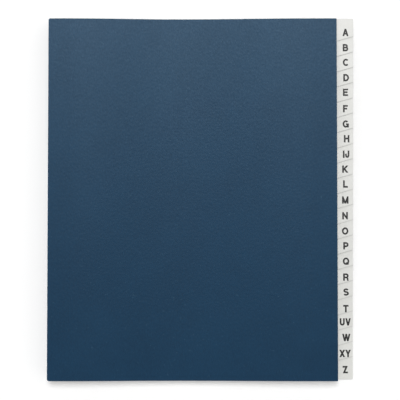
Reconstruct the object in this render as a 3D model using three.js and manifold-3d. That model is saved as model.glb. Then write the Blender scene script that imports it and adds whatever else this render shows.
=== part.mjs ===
// Alphabetical desk sorter, lying closed on its back cover.
//
// Millimetres, +Z up. +X runs from the spine to the index tabs and +Y to the A end. The
// origin is the middle of the face that the sorter rests on.
//
// A stack of tag-board leaves is held at the spine by one accordion-pleated strip. Each
// leaf is glued into a pleat that opens towards the tabs, and the two ends of the strip
// are flaps glued inside the covers. The pleats make the spine thicker than the leaves
// are, so the closed stack and the front cover sink in the middle.

import * as THREE from 'three';
import { mergeVertices } from 'three/addons/utils/BufferGeometryUtils.js';
import Module from 'manifold-3d';

const wasm = await Module();
wasm.setup();

// Index, from the top leaf to the bottom one.
const INDEX = [
  'a', 'b', 'c', 'd', 'e', 'f', 'g', 'h', 'ij', 'k', 'l', 'm',
  'n', 'o', 'p', 'q', 'r', 's', 't', 'uv', 'w', 'xy', 'z',
];

// Covers.
const COVER_HEIGHT = 304.8;
const COVER_WIDTH = 243;
const COVER_THICKNESS = 0.8;
const SPINE_CORNER_RADIUS = 1.6;
const FORE_CORNER_RADIUS = 0.6;

// Leaves.
const LEAF_THICKNESS = 0.4;
const LEAF_END_INSET = 0.4; // each end of a leaf lies this far inside the covers
const LEAF_FORE_INSET = 1.5; // fore-edge between the tabs, inside the covers

// Index tabs.
const TAB_REACH = 14.2; // past the covers
const END_TAB_LENGTH = 17.075; // first and last tab, from the leaf's end to mid-slant
const TAB_SLANT = 4.5; // a tab's side leans this far along Y from root to tip
const TAB_OVERLAP = 2.5; // part of a tab's tip that the tab above it hides
const TAB_CORNER_RADIUS = 0.8;

// Pleated strip.
const GUSSET_THICKNESS = 0.15;
const GUSSET_DEPTH = 12; // from the spine folds to the inner folds
const GUSSET_INSET = 0.3; // spine folds, inside the covers' spine edges
const GUSSET_END_INSET = 1;
const FLAP_WIDTH = 14;
const GLUE_LINE = 0.04; // between any two sheets that lie on each other

// Sag of the closed stack.
const SAG = 5.4; // of the front cover, at its lowest line
const SAG_START = 2; // from the flaps' edge
const SAG_LOWEST = 110.6; // from the spine
const SAG_END = 19; // from the covers' fore-edge

// Fineness of curves.
const SAG_STEPS = 8; // on each side of the lowest line
const FOLD_STEPS = 4; // half round a pleat
const CORNER_STEPS = 4; // round a corner

// Places along X.
const SPINE_X = -(COVER_WIDTH + TAB_REACH) / 2;
const COVER_FORE_X = SPINE_X + COVER_WIDTH;
const TAB_TIP_X = COVER_FORE_X + TAB_REACH;
const LEAF_FORE_X = COVER_FORE_X - LEAF_FORE_INSET;
const SPINE_FOLD_X = SPINE_X + GUSSET_INSET;
const INNER_FOLD_X = SPINE_FOLD_X + GUSSET_DEPTH;

// Places along Y, each the half of a length.
const COVER_END_Y = COVER_HEIGHT / 2;
const LEAF_END_Y = COVER_END_Y - LEAF_END_INSET;
const GUSSET_END_Y = COVER_END_Y - GUSSET_END_INSET;

// The tabs between the first and the last share what those two leave of the leaf.
const TAB_PITCH = 2 * (LEAF_END_Y - END_TAB_LENGTH) / (INDEX.length - 2);

// Undersides along Z, at the spine. A leg is one flat of the pleated strip.
const LEG_STEP = GUSSET_THICKNESS + GLUE_LINE;
const LEAF_STEP = LEAF_THICKNESS + GLUE_LINE + 2 * LEG_STEP;
const BACK_FLAP_Z = COVER_THICKNESS + GLUE_LINE;
const BOTTOM_LEG_Z = BACK_FLAP_Z + LEG_STEP;
const lowerLegZ = (n) => BOTTOM_LEG_Z + LEG_STEP + (INDEX.length - 1 - n) * LEAF_STEP;
const leafZ = (n) => lowerLegZ(n) + LEG_STEP;
const upperLegZ = (n) => leafZ(n) + LEAF_THICKNESS + GLUE_LINE;
const TOP_LEG_Z = upperLegZ(0) + LEG_STEP;
const FRONT_FLAP_Z = TOP_LEG_Z + LEG_STEP;
const FRONT_COVER_Z = FRONT_FLAP_Z + LEG_STEP;

// Centre of a fold that joins two legs, by the height between the legs' undersides.
const foldRadius = (rise) => rise / 2;
const spineFoldCentreX = (rise) => SPINE_FOLD_X + GUSSET_THICKNESS / 2 + foldRadius(rise);
const innerFoldCentreX = (rise) => INNER_FOLD_X - GUSSET_THICKNESS / 2 - foldRadius(rise);

// The leaf's edge stands on the centre line of its own pleat, and a flap starts where the
// strip's last fold ends.
const LEAF_SPINE_X = spineFoldCentreX(upperLegZ(0) - lowerLegZ(0));
const FLAP_SPINE_X = spineFoldCentreX(LEG_STEP) + GLUE_LINE;
const FLAP_FORE_X = FLAP_SPINE_X + FLAP_WIDTH;

// The sag runs from the flaps to near the fore-edge, in two halves of a cosine wave.
const SAG_START_X = FLAP_FORE_X + SAG_START;
const SAG_LOWEST_X = SPINE_X + SAG_LOWEST;
const SAG_END_X = COVER_FORE_X - SAG_END;

const COVER_MATERIAL = new THREE.MeshStandardMaterial({ color: 0x2d475e, roughness: 0.62, metalness: 0 });
const GUSSET_MATERIAL = new THREE.MeshStandardMaterial({ color: 0x33485c, roughness: 0.8, metalness: 0 });
const LEAF_MATERIAL = new THREE.MeshStandardMaterial({ color: 0xe4e5e0, roughness: 0.55, metalness: 0 });

const point = (x, y) => new THREE.Vector2(x, y);

// Share of the full sag at x: 0 at the spine and the fore-edge, 1 at the lowest line.
function sagShare(x) {
  const rim = x < SAG_LOWEST_X ? SAG_START_X : SAG_END_X;
  const fromLowest = THREE.MathUtils.clamp((x - SAG_LOWEST_X) / (rim - SAG_LOWEST_X), 0, 1);
  return (1 + Math.cos(Math.PI * fromLowest)) / 2;
}

// Height at x of a face that lies at z beside the spine. The stack closes up evenly, so
// each sheet sinks in proportion to its height above the back cover.
function settled(z, x) {
  const closing = SAG / (FRONT_COVER_Z - COVER_THICKNESS);
  return COVER_THICKNESS + (z - COVER_THICKNESS) * (1 - closing * sagShare(x));
}

// Values of x where a sheet bends.
function sagStations() {
  const stations = [];
  for (let step = 0; step <= SAG_STEPS; step += 1) {
    stations.push(THREE.MathUtils.lerp(SAG_START_X, SAG_LOWEST_X, step / SAG_STEPS));
  }
  for (let step = 1; step <= SAG_STEPS; step += 1) {
    stations.push(THREE.MathUtils.lerp(SAG_LOWEST_X, SAG_END_X, step / SAG_STEPS));
  }
  return stations;
}

// Closed outline through corners that are given counterclockwise, each with a radius.
function roundedOutline(corners) {
  return new THREE.Shape(corners.flatMap(({ at, radius }, i) => {
    if (radius === 0) return [at];
    const toBefore = corners.at(i - 1).at.clone().sub(at).normalize();
    const toAfter = corners[(i + 1) % corners.length].at.clone().sub(at).normalize();
    const halfAngle = toBefore.angleTo(toAfter) / 2;
    const toCentre = toBefore.clone().add(toAfter).setLength(radius / Math.sin(halfAngle));
    const centre = at.clone().add(toCentre);
    const tangent = radius / Math.tan(halfAngle);
    const start = at.clone().addScaledVector(toBefore, tangent).sub(centre).angle();
    const end = at.clone().addScaledVector(toAfter, tangent).sub(centre).angle();
    return new THREE.ArcCurve(centre.x, centre.y, radius, start, end, false).getPoints(CORNER_STEPS);
  }));
}

// Solid of a closed geometry, and back.
function toSolid(geometry) {
  geometry.deleteAttribute('normal');
  geometry.deleteAttribute('uv');
  const merged = mergeVertices(geometry);
  return new wasm.Manifold(new wasm.Mesh({
    numProp: 3,
    vertProperties: Float32Array.from(merged.attributes.position.array),
    triVerts: Uint32Array.from(merged.index.array),
  }));
}

function toGeometry(solid) {
  const mesh = solid.getMesh();
  const geometry = new THREE.BufferGeometry();
  geometry.setAttribute('position', new THREE.BufferAttribute(mesh.vertProperties, 3));
  geometry.setIndex(new THREE.BufferAttribute(mesh.triVerts, 1));
  geometry.computeVertexNormals();
  return geometry;
}

// Flat sheet with its underside at z.
function flatSheet(outline, z, thickness) {
  const options = { depth: thickness, bevelEnabled: false };
  return new THREE.ExtrudeGeometry(outline, options).translate(0, 0, z);
}

// Prism along Y of a section drawn in X and Z, from -halfLength to halfLength.
function prismAlongY(section, halfLength) {
  const options = { depth: 2 * halfLength, bevelEnabled: false };
  return new THREE.ExtrudeGeometry(section, options).rotateX(Math.PI / 2).translate(0, halfLength, 0);
}

// Sheet that sags with the stack, its underside at z beside the spine. The sagging web is
// wider and longer than the sheet, and the outline is cut out of it.
function saggingSheet(outline, z, thickness) {
  const spare = 1;
  const stations = [SPINE_X - spare, ...sagStations(), TAB_TIP_X + spare];
  const underside = stations.map((x) => point(x, settled(z, x)));
  const upperSide = underside.map(({ x, y }) => point(x, y + thickness)).reverse();
  const web = prismAlongY(new THREE.Shape([...underside, ...upperSide]), COVER_END_Y + spare);
  const cutter = flatSheet(outline, -spare, FRONT_COVER_Z + COVER_THICKNESS + 2 * spare);
  return toGeometry(toSolid(web).intersect(toSolid(cutter)));
}

function coverOutline() {
  return roundedOutline([
    { at: point(SPINE_X, -COVER_END_Y), radius: SPINE_CORNER_RADIUS },
    { at: point(COVER_FORE_X, -COVER_END_Y), radius: FORE_CORNER_RADIUS },
    { at: point(COVER_FORE_X, COVER_END_Y), radius: FORE_CORNER_RADIUS },
    { at: point(SPINE_X, COVER_END_Y), radius: SPINE_CORNER_RADIUS },
  ]);
}

// Strip's end flap: a plain rectangle.
function flapOutline() {
  return roundedOutline([
    { at: point(FLAP_SPINE_X, -GUSSET_END_Y), radius: 0 },
    { at: point(FLAP_FORE_X, -GUSSET_END_Y), radius: 0 },
    { at: point(FLAP_FORE_X, GUSSET_END_Y), radius: 0 },
    { at: point(FLAP_SPINE_X, GUSSET_END_Y), radius: 0 },
  ]);
}

// Middle of the line that tab n shows between itself and the tab below.
const tabBoundaryY = (n) => (INDEX.length / 2 - 1 - n) * TAB_PITCH;

// Lower half of a tab, outwards: its side leans up from root to tip. The last tab runs
// square to the leaf's end instead.
function tabLowerCorners(n) {
  if (n === INDEX.length - 1) {
    return [{ at: point(TAB_TIP_X, -LEAF_END_Y), radius: TAB_CORNER_RADIUS }];
  }
  const middle = tabBoundaryY(n);
  return [
    { at: point(LEAF_FORE_X, -LEAF_END_Y), radius: 0 },
    { at: point(LEAF_FORE_X, middle - TAB_SLANT / 2), radius: 0 },
    { at: point(TAB_TIP_X, middle + TAB_SLANT / 2), radius: TAB_CORNER_RADIUS },
  ];
}

// Upper half of a tab, inwards: the mirror image of the lower one, hidden by the tab
// above. The first tab runs square to the leaf's end instead.
function tabUpperCorners(n) {
  if (n === 0) {
    return [{ at: point(TAB_TIP_X, LEAF_END_Y), radius: TAB_CORNER_RADIUS }];
  }
  const tip = tabBoundaryY(n - 1) + TAB_SLANT / 2 + TAB_OVERLAP;
  return [
    { at: point(TAB_TIP_X, tip), radius: TAB_CORNER_RADIUS },
    { at: point(LEAF_FORE_X, tip + TAB_SLANT), radius: 0 },
    { at: point(LEAF_FORE_X, LEAF_END_Y), radius: 0 },
  ];
}

function leafOutline(n) {
  return roundedOutline([
    { at: point(LEAF_SPINE_X, -LEAF_END_Y), radius: 0 },
    ...tabLowerCorners(n),
    ...tabUpperCorners(n),
    { at: point(LEAF_SPINE_X, LEAF_END_Y), radius: 0 },
  ]);
}

// Section of the pleated strip, from the fold at the back flap up to the one at the front
// flap. It holds a spine fold round each leaf and an inner fold between each two leaves.
function gussetSection() {
  const half = GUSSET_THICKNESS / 2;
  const faces = { left: [], right: [] };

  // Half-round fold from the leg at lowZ to the leg at highZ. side is -1 at the spine and
  // 1 inside, and left is the strip's face on the outside of a spine fold.
  function addFold(side, lowZ, highZ) {
    const radius = foldRadius(highZ - lowZ);
    const centreX = side < 0 ? spineFoldCentreX(highZ - lowZ) : innerFoldCentreX(highZ - lowZ);
    const centreZ = (lowZ + highZ) / 2 + half;
    for (let step = 0; step <= FOLD_STEPS; step += 1) {
      const angle = Math.PI * (step / FOLD_STEPS - 0.5);
      const across = side * Math.cos(angle);
      const up = Math.sin(angle);
      const leftRadius = radius - side * half;
      const rightRadius = radius + side * half;
      faces.left.push(point(centreX + across * leftRadius, centreZ + up * leftRadius));
      faces.right.push(point(centreX + across * rightRadius, centreZ + up * rightRadius));
    }
  }

  addFold(-1, BACK_FLAP_Z, BOTTOM_LEG_Z);
  addFold(1, BOTTOM_LEG_Z, lowerLegZ(INDEX.length - 1));
  for (let n = INDEX.length - 1; n >= 0; n -= 1) {
    addFold(-1, lowerLegZ(n), upperLegZ(n));
    addFold(1, upperLegZ(n), n === 0 ? TOP_LEG_Z : lowerLegZ(n - 1));
  }
  addFold(-1, TOP_LEG_Z, FRONT_FLAP_Z);
  return new THREE.Shape([...faces.left, ...faces.right.reverse()]);
}

const group = new THREE.Group();

function add(name, geometry, material) {
  const mesh = new THREE.Mesh(geometry, material);
  mesh.name = name;
  group.add(mesh);
}

add('back_cover', flatSheet(coverOutline(), 0, COVER_THICKNESS), COVER_MATERIAL);
add('front_cover', saggingSheet(coverOutline(), FRONT_COVER_Z, COVER_THICKNESS), COVER_MATERIAL);
add('spine_gusset', prismAlongY(gussetSection(), GUSSET_END_Y), GUSSET_MATERIAL);
add('back_flap', flatSheet(flapOutline(), BACK_FLAP_Z, GUSSET_THICKNESS), GUSSET_MATERIAL);
add('front_flap', flatSheet(flapOutline(), FRONT_FLAP_Z, GUSSET_THICKNESS), GUSSET_MATERIAL);
INDEX.forEach((letters, n) => {
  add(`divider_${letters}`, saggingSheet(leafOutline(n), leafZ(n), LEAF_THICKNESS), LEAF_MATERIAL);
});

export default group;
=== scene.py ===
import math

import bmesh
import bpy
from mathutils import Matrix, Vector


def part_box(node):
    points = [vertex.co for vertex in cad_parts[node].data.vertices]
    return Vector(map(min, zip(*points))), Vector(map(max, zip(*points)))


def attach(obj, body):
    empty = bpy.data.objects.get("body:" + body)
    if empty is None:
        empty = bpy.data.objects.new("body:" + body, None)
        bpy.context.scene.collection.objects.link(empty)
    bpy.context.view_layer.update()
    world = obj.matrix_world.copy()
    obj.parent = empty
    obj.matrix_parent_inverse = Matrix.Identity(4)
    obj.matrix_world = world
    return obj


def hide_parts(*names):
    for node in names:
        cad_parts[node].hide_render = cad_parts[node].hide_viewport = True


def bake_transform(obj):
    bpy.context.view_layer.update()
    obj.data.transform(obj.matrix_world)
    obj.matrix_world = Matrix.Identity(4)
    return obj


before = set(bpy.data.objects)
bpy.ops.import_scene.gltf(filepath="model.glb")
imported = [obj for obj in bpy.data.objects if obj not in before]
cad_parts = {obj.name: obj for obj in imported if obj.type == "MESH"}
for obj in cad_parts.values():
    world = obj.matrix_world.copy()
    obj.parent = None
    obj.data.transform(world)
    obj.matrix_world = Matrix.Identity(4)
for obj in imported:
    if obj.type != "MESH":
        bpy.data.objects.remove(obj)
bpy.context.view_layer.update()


# Camera. The photograph looks straight down on the closed sorter with a long lens, from a
# little towards the Z end, so that the covers widen slightly towards it.
CAMERA_DISTANCE = 1.30
CAMERA_TILT = math.radians(2.8)
CAMERA_LENS = 139.15
CAMERA_AIM = Vector((-0.00083, -0.0009, 0.018))

towards_camera = Vector((0, -math.sin(CAMERA_TILT), math.cos(CAMERA_TILT)))
bpy.ops.object.camera_add(
    location=CAMERA_AIM + CAMERA_DISTANCE * towards_camera, rotation=(CAMERA_TILT, 0, 0))
camera = bpy.context.object
camera.data.lens = CAMERA_LENS
bpy.context.scene.camera = camera


# Covers. Two boards of dark-blue pressboard, die-cut with rounded spine corners and nearly
# square fore-edge corners. Each starts as a grid, gets its corners and its thickness, and
# has its cut rims eased. The front one sinks in the middle with the stack below it.
SPINE_CORNER = 0.0016
FORE_CORNER = 0.0006
CORNER_STEPS = 6
RIM_EASE = 0.00012
COVER_COLUMNS = 60        # enough for the sag to curve smoothly
COVER_ROWS = 12
COVER_SMOOTH = 20         # degrees, small so that the eased rims don't shade the board
SAG_START = 0.002         # from the flaps' edge
SAG_LOWEST = 0.1106       # from the spine
SAG_END = 0.019           # from the covers' fore-edge

cover_low, cover_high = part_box("back_cover")
BOARD = cover_high.z - cover_low.z
spine_x, fore_x = cover_low.x, cover_high.x
front_low, front_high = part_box("front_cover")
front_underside = front_high.z - BOARD
sag = front_underside - front_low.z
sag_start_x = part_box("front_flap")[1].x + SAG_START
sag_lowest_x = spine_x + SAG_LOWEST
sag_end_x = fore_x - SAG_END


def sheet(name, low, high, z, columns, rows):
    """A flat grid of the given corners at height z, facing up, alone selected."""
    bpy.ops.object.select_all(action="DESELECT")
    centre = ((low.x + high.x) / 2, (low.y + high.y) / 2, z)
    bpy.ops.mesh.primitive_grid_add(x_subdivisions=columns, y_subdivisions=rows, size=1, location=centre)
    piece = bpy.context.object
    piece.name = name
    piece.scale = (high.x - low.x, high.y - low.y, 1)
    bpy.ops.object.transform_apply(location=True, rotation=True, scale=True)
    return piece


def pick(kind, test):
    """In edit mode, selects the vertices or edges whose middle passes a test."""
    bpy.ops.mesh.select_mode(type=kind)
    bpy.ops.mesh.select_all(action="DESELECT")
    shape = bmesh.from_edit_mesh(bpy.context.object.data)
    for part in shape.verts if kind == "VERT" else shape.edges:
        corners = [part] if kind == "VERT" else part.verts
        if test(sum((c.co for c in corners), Vector()) / len(corners)):
            part.select_set(True)
    shape.select_flush_mode()
    bmesh.update_edit_mesh(bpy.context.object.data)


def near(value, place, reach=1e-5):
    return abs(value - place) < reach


def sag_share(x):
    """0 beside the spine and the fore-edge, 1 where the closed stack is lowest."""
    rim = sag_start_x if x < sag_lowest_x else sag_end_x
    from_lowest = min(max((x - sag_lowest_x) / (rim - sag_lowest_x), 0), 1)
    return (1 + math.cos(math.pi * from_lowest)) / 2


def sink(piece):
    """Lets a flat sheet sink with the stack, in proportion to its height above the back cover."""
    closing = sag / (front_underside - BOARD)
    for vertex in piece.data.vertices:
        above = vertex.co.z - BOARD
        vertex.co.z = BOARD + above * (1 - closing * sag_share(vertex.co.x))


def thicken(piece, thickness, offset, ease=0, smooth=35):
    """Gives a sheet its thickness, 1 upwards or 0 both ways, and eases its sharp rims."""
    wall = piece.modifiers.new("thickness", "SOLIDIFY")
    wall.thickness = thickness
    wall.offset = offset
    bpy.ops.object.modifier_apply(modifier=wall.name)
    if ease:
        rim = piece.modifiers.new("rim", "BEVEL")
        rim.width = ease
        rim.segments = 2
        rim.limit_method = "ANGLE"
        rim.angle_limit = math.radians(60)
        bpy.ops.object.modifier_apply(modifier=rim.name)
    bpy.ops.object.shade_smooth_by_angle(angle=math.radians(smooth))


def cover(name, node, underside, sinks):
    piece = sheet(name, cover_low, cover_high, underside, COVER_COLUMNS, COVER_ROWS)
    bpy.ops.object.mode_set(mode="EDIT")
    for x, radius in ((spine_x, SPINE_CORNER), (fore_x, FORE_CORNER)):
        pick("VERT", lambda p: near(p.x, x) and near(abs(p.y), cover_high.y))
        bpy.ops.mesh.bevel(offset=radius, segments=CORNER_STEPS, affect="VERTICES")
    bpy.ops.object.mode_set(mode="OBJECT")
    if sinks:
        sink(piece)
    thicken(piece, BOARD, 1, RIM_EASE, COVER_SMOOTH)
    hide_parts(node)
    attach(piece, node)
    return piece


back_board = cover("pressboard_back", "back_cover", 0, False)
front_board = cover("pressboard_front", "front_cover", front_underside, True)


def add_node(tree, kind, operation=None, **inputs):
    """Adds a shader node. An input is a plain value, or an output that is linked to it."""
    made = tree.nodes.new("ShaderNode" + kind)
    if operation:
        made.operation = operation
    for name, value in inputs.items():
        place = int(name[1:]) if name[1:].isdigit() else name.replace("_", " ")
        if isinstance(value, bpy.types.NodeSocket):
            tree.links.new(value, made.inputs[place])
        else:
            made.inputs[place].default_value = value
    return made


def calculate(tree, operation, first, second=0.0):
    return add_node(tree, "Math", operation, i0=first, i1=second).outputs[0]


def spread(tree, value, low, high, to_low=0.0, to_high=1.0):
    """Maps low to high onto another range, smoothly, and stops at its ends."""
    made = add_node(tree, "MapRange", Value=value, From_Min=low, From_Max=high, To_Min=to_low, To_Max=to_high)
    made.interpolation_type = "SMOOTHSTEP"
    return made.outputs["Result"]


def blend_colours(tree, share, first, second, way="MIX"):
    made = tree.nodes.new("ShaderNodeMix")
    made.data_type = "RGBA"
    made.blend_type = way
    for place, value in ((0, share), (6, first), (7, second)):
        if isinstance(value, bpy.types.NodeSocket):
            tree.links.new(value, made.inputs[place])
        else:
            made.inputs[place].default_value = value
    return made.outputs[2]


def new_group(name, inputs, outputs):
    """An empty node group with number inputs and outputs, and its two end nodes."""
    group = bpy.data.node_groups.new(name, "ShaderNodeTree")
    for label, value in inputs.items():
        group.interface.new_socket(label, in_out="INPUT", socket_type="NodeSocketFloat").default_value = value
    for label in outputs:
        group.interface.new_socket(label, in_out="OUTPUT", socket_type="NodeSocketFloat")
    return group, group.nodes.new("NodeGroupInput"), group.nodes.new("NodeGroupOutput")


def use_group(tree, group, **inputs):
    made = tree.nodes.new("ShaderNodeGroup")
    made.node_tree = group
    for name, value in inputs.items():
        made.inputs[name.replace("_", " ")].default_value = value
    return made.outputs


# Felted fibres, as in any board or paper: three layers of long soft noise that cross each
# other, and a scatter of darker shives. Width is one fibre's, in metres.
fibre_mat, fibre_in, fibre_out = new_group(
    "fibre_mat", {"Width": 0.0004, "Fleck Size": 0.001}, ("Fibres", "Flecks", "Cloud"))
place = add_node(fibre_mat, "TexCoord").outputs["Object"]
per_metre = calculate(fibre_mat, "DIVIDE", 1.0, fibre_in.outputs["Width"])
fine = add_node(fibre_mat, "VectorMath", "SCALE", i0=place, i3=per_metre)
layers = []
for turn in (12, 71, 134):
    laid = add_node(
        fibre_mat, "Mapping", Vector=fine.outputs[0],
        Rotation=(0, 0, math.radians(turn)), Scale=(1, 0.14, 1))
    streaks = add_node(
        fibre_mat, "TexNoise", Vector=laid.outputs[0],
        Scale=1.0, Detail=3.0, Roughness=0.6, Distortion=0.6)
    layers.append(streaks.outputs[0])
total = calculate(fibre_mat, "ADD", calculate(fibre_mat, "ADD", layers[0], layers[1]), layers[2])
fibre_mat.links.new(spread(fibre_mat, total, 1.15, 1.85), fibre_out.inputs["Fibres"])
per_fleck = calculate(fibre_mat, "DIVIDE", 1.0, fibre_in.outputs["Fleck Size"])
specks = add_node(
    fibre_mat, "TexNoise", Vector=place, Scale=per_fleck, Detail=2.0, Roughness=0.4, Distortion=1.2)
fibre_mat.links.new(spread(fibre_mat, specks.outputs[0], 0.66, 0.76), fibre_out.inputs["Flecks"])
cloud = add_node(fibre_mat, "TexNoise", Vector=place, Scale=28.0, Detail=4.0, Roughness=0.55)
fibre_mat.links.new(spread(fibre_mat, cloud.outputs[0], 0.3, 0.7), fibre_out.inputs["Cloud"])

# Wear along a board's rims: 1 on the rim, fading inwards, broken up by noise.
rim_wear, rim_in, rim_out = new_group(
    "rim_wear", {"Centre X": 0, "Half X": 0.1, "Half Y": 0.1, "Reach": 0.001}, ("Wear",))
spot = add_node(rim_wear, "TexCoord").outputs["Object"]
axes = add_node(rim_wear, "SeparateXYZ", Vector=spot)
from_side = calculate(
    rim_wear, "ABSOLUTE", calculate(rim_wear, "SUBTRACT", axes.outputs["X"], rim_in.outputs["Centre X"]))
from_end = calculate(rim_wear, "ABSOLUTE", axes.outputs["Y"])
inside = calculate(
    rim_wear, "MINIMUM",
    calculate(rim_wear, "SUBTRACT", rim_in.outputs["Half X"], from_side),
    calculate(rim_wear, "SUBTRACT", rim_in.outputs["Half Y"], from_end))
scuffs = add_node(rim_wear, "TexNoise", Vector=spot, Scale=420.0, Detail=5.0, Roughness=0.7)
frayed = calculate(
    rim_wear, "MULTIPLY", rim_in.outputs["Reach"], spread(rim_wear, scuffs.outputs[0], 0.35, 0.7))
worn = spread(rim_wear, calculate(rim_wear, "DIVIDE", inside, frayed), 1.0, 0.2)
rim_wear.links.new(worn, rim_out.inputs["Wear"])


def new_material(name):
    material = bpy.data.materials.new(name)
    material.use_nodes = True
    return material, material.node_tree, material.node_tree.nodes["Principled BSDF"]


BOARD_DARK = (0.0012, 0.0187, 0.0475, 1)
BOARD_LIGHT = (0.0050, 0.0343, 0.0778, 1)
BOARD_SHIVE = (0.0010, 0.0110, 0.0290, 1)
BOARD_CORE = (0.0300, 0.0750, 0.1250, 1)
PEBBLE_DEPTH = 3.0        # of the calendered grain, in depths of the fibres' relief

pressboard, tree, shader = new_material("pressboard")
mat = use_group(tree, fibre_mat, Width=0.00035, Fleck_Size=0.0011)
wear = use_group(
    tree, rim_wear, Centre_X=(spine_x + fore_x) / 2, Half_X=(fore_x - spine_x) / 2,
    Half_Y=cover_high.y, Reach=0.0009)
tone = calculate(
    tree, "ADD",
    calculate(tree, "MULTIPLY", mat["Fibres"], 0.75),
    calculate(tree, "MULTIPLY", mat["Cloud"], 0.25))
colour = blend_colours(tree, tone, BOARD_DARK, BOARD_LIGHT)
colour = blend_colours(tree, calculate(tree, "MULTIPLY", mat["Flecks"], 0.6), colour, BOARD_SHIVE)
colour = blend_colours(tree, calculate(tree, "MULTIPLY", wear["Wear"], 0.45), colour, BOARD_CORE)
tree.links.new(colour, shader.inputs["Base Color"])
tree.links.new(spread(tree, mat["Fibres"], 0.0, 1.0, 0.40, 0.33), shader.inputs["Roughness"])
shader.inputs["Specular IOR Level"].default_value = 0.16
shader.inputs["Specular Tint"].default_value = (0.55, 0.78, 1.0, 1)
pebbles = add_node(
    tree, "TexNoise", Vector=add_node(tree, "TexCoord").outputs["Object"],
    Scale=480.0, Detail=1.0, Roughness=0.4)
relief = calculate(tree, "ADD", mat["Fibres"], calculate(tree, "MULTIPLY", pebbles.outputs[0], PEBBLE_DEPTH))
bump = add_node(tree, "Bump", Height=relief, Strength=0.5, Distance=0.00003)
tree.links.new(bump.outputs[0], shader.inputs["Normal"])
for board in (back_board, front_board):
    board.data.materials.append(pressboard)


# Spine. One long strip of dark gusset paper folded into pleats: a spine fold round each
# leaf and an inner fold between each two. One pleat is modelled, repeated up the stack and
# given the paper's thickness. It is glued to the leaves and covers all along.
GUSSET = 0.00015
GLUE_LINE = 0.00004
LEAF = 0.0004
LEAVES = 23
SPINE_FOLD_STEPS = 8
INNER_FOLD_STEPS = 6

gusset_low, gusset_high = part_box("spine_gusset")
leg_step = GUSSET + GLUE_LINE
leaf_step = LEAF + GLUE_LINE + 2 * leg_step
leaf_fold_rise = leaf_step - leg_step
bottom_leg_z = BOARD + GLUE_LINE + leg_step + GUSSET / 2
lower_leg_z = bottom_leg_z + leg_step
top_leg_z = lower_leg_z + LEAVES * leaf_step
front_flap_z = top_leg_z + leg_step
back_flap_z = bottom_leg_z - leg_step


def spine_fold_x(rise):
    return gusset_low.x + GUSSET / 2 + rise / 2


def inner_fold_x(rise):
    return gusset_high.x - GUSSET / 2 - rise / 2


def fold(x, from_z, to_z, side, steps):
    """Spins the selected edge half round from leg to leg. side is -1 at the spine, 1 inside."""
    turn = side if to_z > from_z else -side
    bpy.ops.mesh.spin(
        steps=steps, angle=turn * math.pi, center=(x, 0, (from_z + to_z) / 2), axis=(0, 1, 0))


def draw_leg(x_from, x_to):
    """Extrudes the selected edge into a leg of the strip."""
    bpy.ops.mesh.extrude_region_move(TRANSFORM_OT_translate={"value": (x_to - x_from, 0, 0)})


def strip_start(name, x_from, x_to, z):
    low = Vector((x_from, gusset_low.y, z))
    high = Vector((x_to, gusset_high.y, z))
    return sheet(name, low, high, z, 1, 1)


def dress_strip(piece):
    bpy.ops.mesh.select_all(action="SELECT")
    bpy.ops.mesh.remove_doubles(threshold=1e-6)
    bpy.ops.mesh.normals_make_consistent(inside=False)
    bpy.ops.object.mode_set(mode="OBJECT")
    thicken(piece, GUSSET, 0)


leaf_fold_x = spine_fold_x(leaf_fold_rise)
between_x = inner_fold_x(leg_step)
end_fold_x = spine_fold_x(leg_step)

pleats = strip_start("pleated_strip", leaf_fold_x, between_x, lower_leg_z)
bpy.ops.object.mode_set(mode="EDIT")
pick("EDGE", lambda p: near(p.x, leaf_fold_x))
fold(leaf_fold_x, lower_leg_z, lower_leg_z + leaf_fold_rise, -1, SPINE_FOLD_STEPS)
draw_leg(leaf_fold_x, between_x)
fold(between_x, lower_leg_z + leaf_fold_rise, lower_leg_z + leaf_step, 1, INNER_FOLD_STEPS)
bpy.ops.object.mode_set(mode="OBJECT")
repeat = pleats.modifiers.new("pleats", "ARRAY")
repeat.count = LEAVES
repeat.use_relative_offset = False
repeat.use_constant_offset = True
repeat.constant_offset_displace = (0, 0, leaf_step)
repeat.use_merge_vertices = True
repeat.merge_threshold = 1e-6
bpy.ops.object.modifier_apply(modifier=repeat.name)
bpy.ops.object.mode_set(mode="EDIT")
pick("EDGE", lambda p: near(p.x, between_x) and near(p.z, top_leg_z) and near(p.y, 0))
draw_leg(between_x, end_fold_x)
pick("EDGE", lambda p: near(p.x, between_x) and near(p.z, lower_leg_z) and near(p.y, 0))
fold(between_x, lower_leg_z, bottom_leg_z, 1, INNER_FOLD_STEPS)
draw_leg(between_x, end_fold_x)
dress_strip(pleats)
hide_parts("spine_gusset")
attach(pleats, "leaf_block")


# Cover hinges. The strip's first and last folds carry the covers: each turns half round
# between the leaf block and the flap glued inside its cover.
HINGE_STEPS = 16
HINGE_LEG = 0.0004

hinge_folds = []
for side, leg_z, flap_z in (("front", top_leg_z, front_flap_z), ("back", bottom_leg_z, back_flap_z)):
    hinge = strip_start(f"{side}_hinge_fold", end_fold_x, end_fold_x + HINGE_LEG, leg_z)
    bpy.ops.object.mode_set(mode="EDIT")
    pick("EDGE", lambda p: near(p.x, end_fold_x))
    fold(end_fold_x, leg_z, flap_z, -1, HINGE_STEPS)
    dress_strip(hinge)
    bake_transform(hinge)
    hinge_folds.append(hinge)

GUSSET_DARK = (0.0180, 0.0330, 0.0520, 1)
GUSSET_LIGHT = (0.0300, 0.0520, 0.0780, 1)
GUSSET_CREASE = (0.0900, 0.1250, 0.1600, 1)

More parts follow.
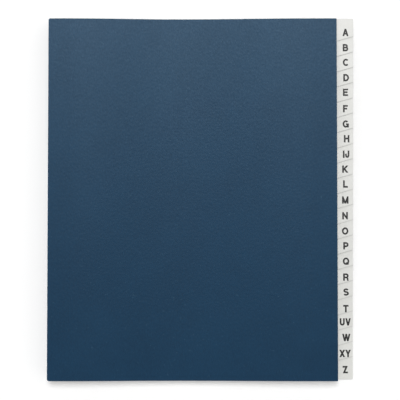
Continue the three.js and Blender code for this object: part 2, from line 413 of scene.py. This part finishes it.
gusset_paper, tree, shader = new_material("gusset_paper")
mat = use_group(tree, fibre_mat, Width=0.0003, Fleck_Size=0.0008)
across = add_node(tree, "SeparateXYZ", Vector=add_node(tree, "TexCoord").outputs["Object"]).outputs["X"]
from_crease = calculate(
    tree, "MINIMUM",
    calculate(tree, "SUBTRACT", across, gusset_low.x),
    calculate(tree, "SUBTRACT", gusset_high.x, across))
crease = calculate(tree, "MULTIPLY", spread(tree, from_crease, 0.00045, 0.00005), mat["Fibres"])
colour = blend_colours(tree, mat["Fibres"], GUSSET_DARK, GUSSET_LIGHT)
colour = blend_colours(tree, calculate(tree, "MULTIPLY", crease, 0.5), colour, GUSSET_CREASE)
tree.links.new(colour, shader.inputs["Base Color"])
tree.links.new(spread(tree, mat["Cloud"], 0.0, 1.0, 0.62, 0.78), shader.inputs["Roughness"])
bump = add_node(tree, "Bump", Height=mat["Fibres"], Strength=0.4, Distance=0.00002)
tree.links.new(bump.outputs[0], shader.inputs["Normal"])
for piece in (pleats, *hinge_folds):
    piece.data.materials.append(gusset_paper)
for flap in ("front_flap", "back_flap"):
    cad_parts[flap].data.materials.clear()
    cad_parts[flap].data.materials.append(gusset_paper)


# Index leaves. Each is one die-cut sheet of white tag board with a tab that leans in on
# both sides; the first and last tabs run square to the leaf's ends. The leaves are jogged
# by hand, so each lies a hair off its neighbours. Clear film stiffens both tab faces.
INDEX = [
    "a", "b", "c", "d", "e", "f", "g", "h", "ij", "k", "l", "m",
    "n", "o", "p", "q", "r", "s", "t", "uv", "w", "xy", "z"]
LEAF_FORE_INSET = 0.0015
END_TAB = 0.017075        # first and last tab, from the leaf's end to mid-slant
TAB_SLANT = 0.0045
TAB_OVERLAP = 0.0025
TAB_CORNER = 0.0008
JOG_ALONG = 0.00025       # most that a leaf is shifted along the stack's edge
JOG_IN = 0.00012          # most that a leaf is pushed in towards the spine
LEAF_COLUMNS = 56
TAB_CORNER_STEPS = 5

leaf_low, leaf_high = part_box("divider_m")
leaf_fore_x = fore_x - LEAF_FORE_INSET
tab_pitch = 2 * (leaf_high.y - END_TAB) / (LEAVES - 2)


def boundary_y(n):
    """Middle of the slanted line that tab n shows above the tab below."""
    return (LEAVES / 2 - 1 - n) * tab_pitch


def tab_ends(n):
    """Tab n's lower and upper side, as (root y, tip y)."""
    lower = (boundary_y(n) - TAB_SLANT / 2, boundary_y(n) + TAB_SLANT / 2)
    upper_tip = boundary_y(n - 1) + TAB_SLANT / 2 + TAB_OVERLAP
    upper = (upper_tip + TAB_SLANT, upper_tip)
    if n == 0:
        upper = (leaf_high.y, leaf_high.y)
    if n == LEAVES - 1:
        lower = (leaf_low.y, leaf_low.y)
    return lower, upper


def jog(n):
    """A leaf's small shift, spread evenly and without repeats over the stack."""
    wander = math.sin(2.4 * n + 0.7)
    return Vector((-JOG_IN * (1 + math.sin(3.9 * n)) / 2, JOG_ALONG * wander, 0))


def index_leaf(n, letters):
    node = f"divider_{letters}"
    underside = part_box(node)[1].z - LEAF
    body_high = Vector((leaf_fore_x, leaf_high.y, 0))
    piece = sheet(f"leaf_{letters}", leaf_low, body_high, underside, LEAF_COLUMNS, 1)
    lower, upper = tab_ends(n)
    bpy.ops.object.mode_set(mode="EDIT")
    for y in (lower[0], upper[0]):
        if abs(y) < leaf_high.y:
            bpy.ops.mesh.select_all(action="SELECT")
            bpy.ops.mesh.bisect(plane_co=(0, y, 0), plane_no=(0, 1, 0))
    pick("EDGE", lambda p: near(p.x, leaf_fore_x) and lower[0] < p.y < upper[0])
    bpy.ops.mesh.extrude_region_move(TRANSFORM_OT_translate={"value": (leaf_high.x - leaf_fore_x, 0, 0)})
    for root, tip in (lower, upper):
        pick("VERT", lambda p: near(p.x, leaf_high.x) and near(p.y, root))
        bpy.ops.transform.translate(value=(0, tip - root, 0))
    pick("VERT", lambda p: near(p.x, leaf_high.x))
    bpy.ops.mesh.bevel(offset=TAB_CORNER, segments=TAB_CORNER_STEPS, affect="VERTICES")
    bpy.ops.object.mode_set(mode="OBJECT")
    sink(piece)
    for vertex in piece.data.vertices:
        vertex.co += jog(n)
    thicken(piece, LEAF, 1)
    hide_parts(node)
    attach(piece, "leaf_block")
    return piece


leaves = [index_leaf(n, letters) for n, letters in enumerate(INDEX)]

TAG_LIGHT = (0.745, 0.745, 0.718, 1)
TAG_DARK = (0.670, 0.672, 0.645, 1)
TAG_FLECK = (0.48, 0.47, 0.43, 1)
TAG_SHADE_LINE = (0.36, 0.36, 0.35, 1)
SHADE_LINE_WIDTH = 0.0007        # of the painted shade line that a tab's side casts on the tab below
FILM_MARGIN = 0.008       # of the film, past the tab's root onto the leaf

tag_board, tree, shader = new_material("tag_board")
mat = use_group(tree, fibre_mat, Width=0.0003, Fleck_Size=0.0006)
place = add_node(tree, "SeparateXYZ", Vector=add_node(tree, "TexCoord").outputs["Object"])
across, along = place.outputs["X"], place.outputs["Y"]
tab_middle_x = (leaf_fore_x + leaf_high.x) / 2
film_x = leaf_fore_x - FILM_MARGIN
film = spread(tree, across, film_x - 0.0001, film_x + 0.0001)
tone = calculate(
    tree, "ADD",
    calculate(tree, "MULTIPLY", mat["Fibres"], 0.6),
    calculate(tree, "MULTIPLY", mat["Cloud"], 0.4))
colour = blend_colours(tree, tone, TAG_DARK, TAG_LIGHT)
colour = blend_colours(tree, calculate(tree, "MULTIPLY", mat["Flecks"], 0.35), colour, TAG_FLECK)
# Painted shade: a grey line along each tab's slanted side, where the tab above shades the tab below. None is
# drawn above tab A.
slanted = calculate(
    tree, "MULTIPLY",
    calculate(tree, "SUBTRACT", across, tab_middle_x),
    TAB_SLANT / (leaf_high.x - leaf_fore_x))
from_middle = calculate(tree, "DIVIDE", calculate(tree, "SUBTRACT", along, slanted), tab_pitch)
from_side = calculate(
    tree, "ABSOLUTE", calculate(tree, "SUBTRACT", calculate(tree, "FRACT", from_middle), 0.5))
shade_line = spread(tree, calculate(tree, "MULTIPLY", from_side, tab_pitch), SHADE_LINE_WIDTH, SHADE_LINE_WIDTH / 3)
shade_line = calculate(tree, "MULTIPLY", shade_line, spread(tree, across, leaf_fore_x, leaf_fore_x + 0.001))
last_shade_line = boundary_y(0) + TAB_SLANT
shade_line = calculate(
    tree, "MULTIPLY", shade_line, spread(tree, calculate(tree, "ABSOLUTE", along), last_shade_line + 0.001, last_shade_line))
colour = blend_colours(tree, calculate(tree, "MULTIPLY", shade_line, 0.25), colour, TAG_SHADE_LINE)
tree.links.new(colour, shader.inputs["Base Color"])
tree.links.new(spread(tree, mat["Fibres"], 0.0, 1.0, 0.68, 0.55), shader.inputs["Roughness"])
tree.links.new(calculate(tree, "MULTIPLY", film, 0.1), shader.inputs["Coat Weight"])
shader.inputs["Coat Roughness"].default_value = 0.22
bump = add_node(tree, "Bump", Height=mat["Fibres"], Strength=0.25, Distance=0.00002)
tree.links.new(bump.outputs[0], shader.inputs["Normal"])
for leaf in leaves:
    leaf.data.materials.append(tag_board)


# Index letters. Bold black capitals printed on both faces of each tab, nearer to its lower
# side. A letter is drawn by the middle lines of its strokes, pulled up into walls, given
# the strokes' weight, trimmed level and united, and laid on the leaf as a film of ink.
CAP_HEIGHT = 0.0062
WEIGHT = 0.23             # of a stroke, in cap heights, as all letter sizes are
LETTER_GAP = 0.09
TRIM = 0.5005             # from a letter's middle, just clear of its level strokes
INK = 0.00003
LETTER_X = fore_x + 0.0076
LETTER_ABOVE = 0.0055     # letters' middle, above the middle of the tab's lower side


def bow(x, y, across, up, start, end):
    """Points round part of an ellipse, from one angle in degrees to another."""
    steps = max(4, round(abs(end - start) / 15))
    angles = [math.radians(start + (end - start) * step / steps) for step in range(steps + 1)]
    return [(x + across * math.cos(a), y + up * math.sin(a)) for a in angles]


# Width, and strokes from 0 to 1 between the middles of the outermost strokes.
LETTERS = {
    "a": (0.80, [[(0.054, 0), (0.5, 1.14), (0.946, 0)], [(0.16, 0.28), (0.84, 0.28)]]),
    "b": (0.75, [
        [(0, 0), *bow(0.55, 0.265, 0.45, 0.265, -90, 90), (0, 0.53), (0, 0)],
        [(0, 0.53), *bow(0.5, 0.765, 0.4, 0.235, -90, 90), (0, 1), (0, 0.53)]]),
    "c": (0.86, [bow(0.5, 0.5, 0.5, 0.5, 42, 318)]),
    "d": (0.78, [[(0, 0), *bow(0.4, 0.5, 0.6, 0.5, -90, 90), (0, 1), (0, 0)]]),
    "e": (0.70, [[(1, 1), (0, 1), (0, 0), (1, 0)], [(0.02, 0.52), (1.1, 0.52)]]),
    "f": (0.66, [[(1, 1), (0, 1), (0, 0)], [(0.02, 0.5), (1.05, 0.5)]]),
    "g": (0.84, [bow(0.5, 0.5, 0.5, 0.5, 42, 325), [(0.55, 0.44), (1, 0.44), (1, 0)]]),
    "h": (0.75, [[(0, 0), (0, 1)], [(1, 0), (1, 1)], [(0.02, 0.53), (0.98, 0.53)]]),
    "i": (0.23, [[(0, 0), (0, 1)]]),
    "j": (0.57, [[(1, 1), *bow(0.5, 0.3, 0.5, 0.3, 0, -180)]]),
    "k": (0.78, [[(0, 0), (0, 1)], [(0.02, 0.3), (0.88, 1)], [(0.34, 0.58), (0.92, 0)]]),
    "l": (0.66, [[(0, 1), (0, 0), (1, 0)]]),
    "m": (0.88, [[(0, 0), (0, 1), (0.5, -0.12), (1, 1), (1, 0)]]),
    "n": (0.77, [[(0, 0), (0, 1), (1, 0), (1, 1)]]),
    "o": (0.88, [bow(0.5, 0.5, 0.5, 0.5, 0, 360)]),
    "p": (0.72, [[(0, 0), (0, 1), *bow(0.48, 0.7, 0.52, 0.3, 90, -90), (0.02, 0.4)]]),
    "q": (0.88, [bow(0.5, 0.5, 0.5, 0.5, 0, 360), [(0.56, 0.28), (1.02, -0.08)]]),
    "r": (0.77, [
        [(0, 0), (0, 1), *bow(0.5, 0.72, 0.46, 0.28, 90, -90), (0.02, 0.44)],
        [(0.45, 0.44), (0.78, 0.37), (0.9, 0.22), (0.94, 0)]]),
    "s": (0.77, [[*bow(0.5, 0.755, 0.46, 0.245, 20, 270), *bow(0.5, 0.255, 0.5, 0.255, 90, -155)[1:]]]),
    "t": (0.74, [[(0, 1), (1, 1)], [(0.5, 0), (0.5, 0.96)]]),
    "u": (0.68, [[(0, 1), *bow(0.5, 0.34, 0.5, 0.34, 180, 360), (1, 1)]]),
    "v": (0.72, [[(0.05, 1), (0.5, -0.14), (0.95, 1)]]),
    "w": (1.10, [[(0.02, 1), (0.27, -0.14), (0.5, 1.06), (0.73, -0.14), (0.98, 1)]]),
    "x": (0.72, [[(0.08, 0), (0.92, 1)], [(0.08, 1), (0.92, 0)]]),
    "y": (0.70, [[(0.06, 1), (0.5, 0.42), (0.94, 1)], [(0.5, 0.5), (0.5, 0)]]),
    "z": (0.72, [[(0, 1), (0.84, 1), (0.16, 0), (1, 0)]]),
}


def letter_piece(name, letters):
    """The letters side by side round the origin, drawn a unit high and then brought to size."""
    points, edges = [], []
    left = 0
    for letter in letters:
        width, strokes = LETTERS[letter]
        for stroke in strokes:
            line = [
                (left + WEIGHT / 2 + x * (width - WEIGHT), WEIGHT / 2 + y * (1 - WEIGHT)) for x, y in stroke]
            first = len(points)
            if math.dist(stroke[0], stroke[-1]) < 1e-6:
                points += line[:-1]
                edges += [(first + i, first + (i + 1) % (len(line) - 1)) for i in range(len(line) - 1)]
            else:
                edges += [(first + i, first + i + 1) for i in range(len(line) - 1)]
                points += line
                for at, beside in ((0, 1), (-1, -2)):
                    if {stroke[at][0], stroke[at][1]} & {0, 1}:
                        along = (Vector(line[at]) - Vector(line[beside])).normalized()
                        length = WEIGHT if abs(along.y) > 1e-6 else WEIGHT / 2
                        points[first if at == 0 else -1] = tuple(Vector(line[at]) + length * along)
        left += width + LETTER_GAP
    middle = (left - LETTER_GAP) / 2
    mesh = bpy.data.meshes.new(name)
    mesh.from_pydata([(x - middle, y - 0.5, -0.5) for x, y in points], edges, [])
    bpy.ops.object.select_all(action="DESELECT")
    piece = bpy.data.objects.new(name, mesh)
    bpy.context.collection.objects.link(piece)
    bpy.context.view_layer.objects.active = piece
    piece.select_set(True)
    bpy.ops.object.mode_set(mode="EDIT")
    bpy.ops.mesh.select_all(action="SELECT")
    bpy.ops.mesh.extrude_region_move(TRANSFORM_OT_translate={"value": (0, 0, 1)})
    bpy.ops.object.mode_set(mode="OBJECT")
    wall = piece.modifiers.new("weight", "SOLIDIFY")
    wall.thickness = WEIGHT
    wall.offset = 0
    wall.use_even_offset = True
    bpy.ops.object.modifier_apply(modifier=wall.name)
    bpy.ops.object.mode_set(mode="EDIT")
    for side in (-1, 1):
        bpy.ops.mesh.select_all(action="SELECT")
        bpy.ops.mesh.bisect(
            plane_co=(0, side * TRIM, 0), plane_no=(0, side, 0), use_fill=True, clear_outer=True)
    bpy.ops.mesh.select_all(action="SELECT")
    bpy.ops.mesh.normals_make_consistent(inside=False)
    bpy.ops.mesh.intersect_boolean(operation="UNION", use_self=True, solver="EXACT")
    bpy.ops.object.mode_set(mode="OBJECT")
    piece.data.transform(Matrix.Diagonal((CAP_HEIGHT, CAP_HEIGHT, INK, 1)))
    return piece


INK_DARK = (0.006, 0.006, 0.006, 1)
INK_LIGHT = (0.014, 0.014, 0.014, 1)

ink, tree, shader = new_material("index_ink")
mat = use_group(tree, fibre_mat, Width=0.0003, Fleck_Size=0.0006)
colour = blend_colours(tree, mat["Fibres"], INK_DARK, INK_LIGHT)
tree.links.new(colour, shader.inputs["Base Color"])
tree.links.new(spread(tree, mat["Fibres"], 0.0, 1.0, 0.52, 0.42), shader.inputs["Roughness"])
shader.inputs["Specular IOR Level"].default_value = 0.2

# Each tab is printed a little off its place: millimetres across and along the strip, as
# measured in the photograph. xy's are chosen instead, to keep its foot on its own tab.
PRINT_DRIFT = {
    "a": (0.0, 0.0), "b": (0.0, 0.2), "c": (0.5, 0.9), "d": (0.6, 0.4), "e": (0.1, 1.4), "f": (0.1, 0.2),
    "g": (0.3, 0.1), "h": (1.2, 0.9), "ij": (0.7, 0.2), "k": (-0.2, 0.8), "l": (0.3, 1.1), "m": (0.0, 0.2),
    "n": (-0.1, 0.2), "o": (0.0, -0.2), "p": (0.6, 0.2), "q": (0.8, 0.3), "r": (0.7, -0.7), "s": (0.8, -0.1),
    "t": (0.7, -1.4), "uv": (0.1, 0.0), "w": (1.1, 0.1), "xy": (0.1, -1.0), "z": (0.2, -1.6)}

for n, letters in enumerate(INDEX):
    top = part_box(f"divider_{letters}")[1].z
    drift = Vector((*PRINT_DRIFT[letters], 0)) / 1000 + jog(n)
    front_y = boundary_y(n) + LETTER_ABOVE
    back_y = sum(tab_ends(n)[1]) / 2 - LETTER_ABOVE
    front = letter_piece(f"index_{letters}", letters)
    back = front.copy()
    back.data = front.data.copy()
    bpy.context.collection.objects.link(back)
    front.data.transform(Matrix.Translation(Vector((LETTER_X, front_y, top + INK / 4)) + drift))
    turned = Matrix.Rotation(math.pi, 4, "Y")
    back_place = Vector((LETTER_X, back_y, top - LEAF - INK / 4)) + jog(n)
    back.data.transform(Matrix.Translation(back_place) @ turned)
    back.select_set(True)
    front.select_set(True)
    bpy.context.view_layer.objects.active = front
    bpy.ops.object.join()
    bpy.ops.object.shade_flat()
    front.data.materials.append(ink)
    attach(front, "leaf_block")


# Table. A white sweep that reads as plain white from the camera and keeps the soft shadow.
TABLE_SIZE = 6
TABLE_DROP = 0.00005      # so that it shares no face with the back cover
TABLE_GLOW = 0.11         # to the camera only

bpy.ops.object.select_all(action="DESELECT")
bpy.ops.mesh.primitive_plane_add(size=TABLE_SIZE, location=(0, 0, -TABLE_DROP))
table = bpy.context.object
table.name = "table"
sweep, tree, shader = new_material("white_sweep")
seen = add_node(tree, "LightPath").outputs["Is Camera Ray"]
shader.inputs["Base Color"].default_value = (0.95, 0.95, 0.95, 1)
shader.inputs["Roughness"].default_value = 0.9
shader.inputs["Specular IOR Level"].default_value = 0.1
shader.inputs["Emission Color"].default_value = (1, 1, 1, 1)
tree.links.new(calculate(tree, "MULTIPLY", seen, TABLE_GLOW), shader.inputs["Emission Strength"])
table.data.materials.append(sweep)


# Light. A softbox high above lights the object evenly and throws the short shadow past the
# Z end. A card beyond the A end shows only as the covers' sheen, and a white room fills in.
SOFTBOX_POWER = 84
CARD_POWER = 190
ROOM_FILL = 0.5


def lamp(name, place, across, along, power):
    bpy.ops.object.light_add(type="AREA", location=place, rotation=place.to_track_quat("Z", "Y").to_euler())
    made = bpy.context.object
    made.name = name
    made.data.shape = "RECTANGLE"
    made.data.size = across
    made.data.size_y = along
    made.data.energy = power
    return made


softbox = lamp("softbox", Vector((-0.08, 0.72, 4.0)), 0.8, 1.2, SOFTBOX_POWER)
softbox.visible_glossy = False
card = lamp("sheen_card", Vector((0, 1.35, 4.0)), 2.4, 0.5, CARD_POWER)
card.visible_diffuse = False

world = bpy.data.worlds.new("room")
bpy.context.scene.world = world
world.use_nodes = True
tree = world.node_tree
background = tree.nodes["Background"]
background.inputs["Color"].default_value = (1, 1, 1, 1)
rays = add_node(tree, "LightPath")
seen = calculate(tree, "MAXIMUM", rays.outputs["Is Camera Ray"], rays.outputs["Is Transmission Ray"])
seen = calculate(tree, "MAXIMUM", seen, rays.outputs["Is Glossy Ray"])
tree.links.new(spread(tree, seen, 0.0, 1.0, ROOM_FILL, 1.0), background.inputs["Strength"])

bpy.context.scene.view_settings.view_transform = "Standard"
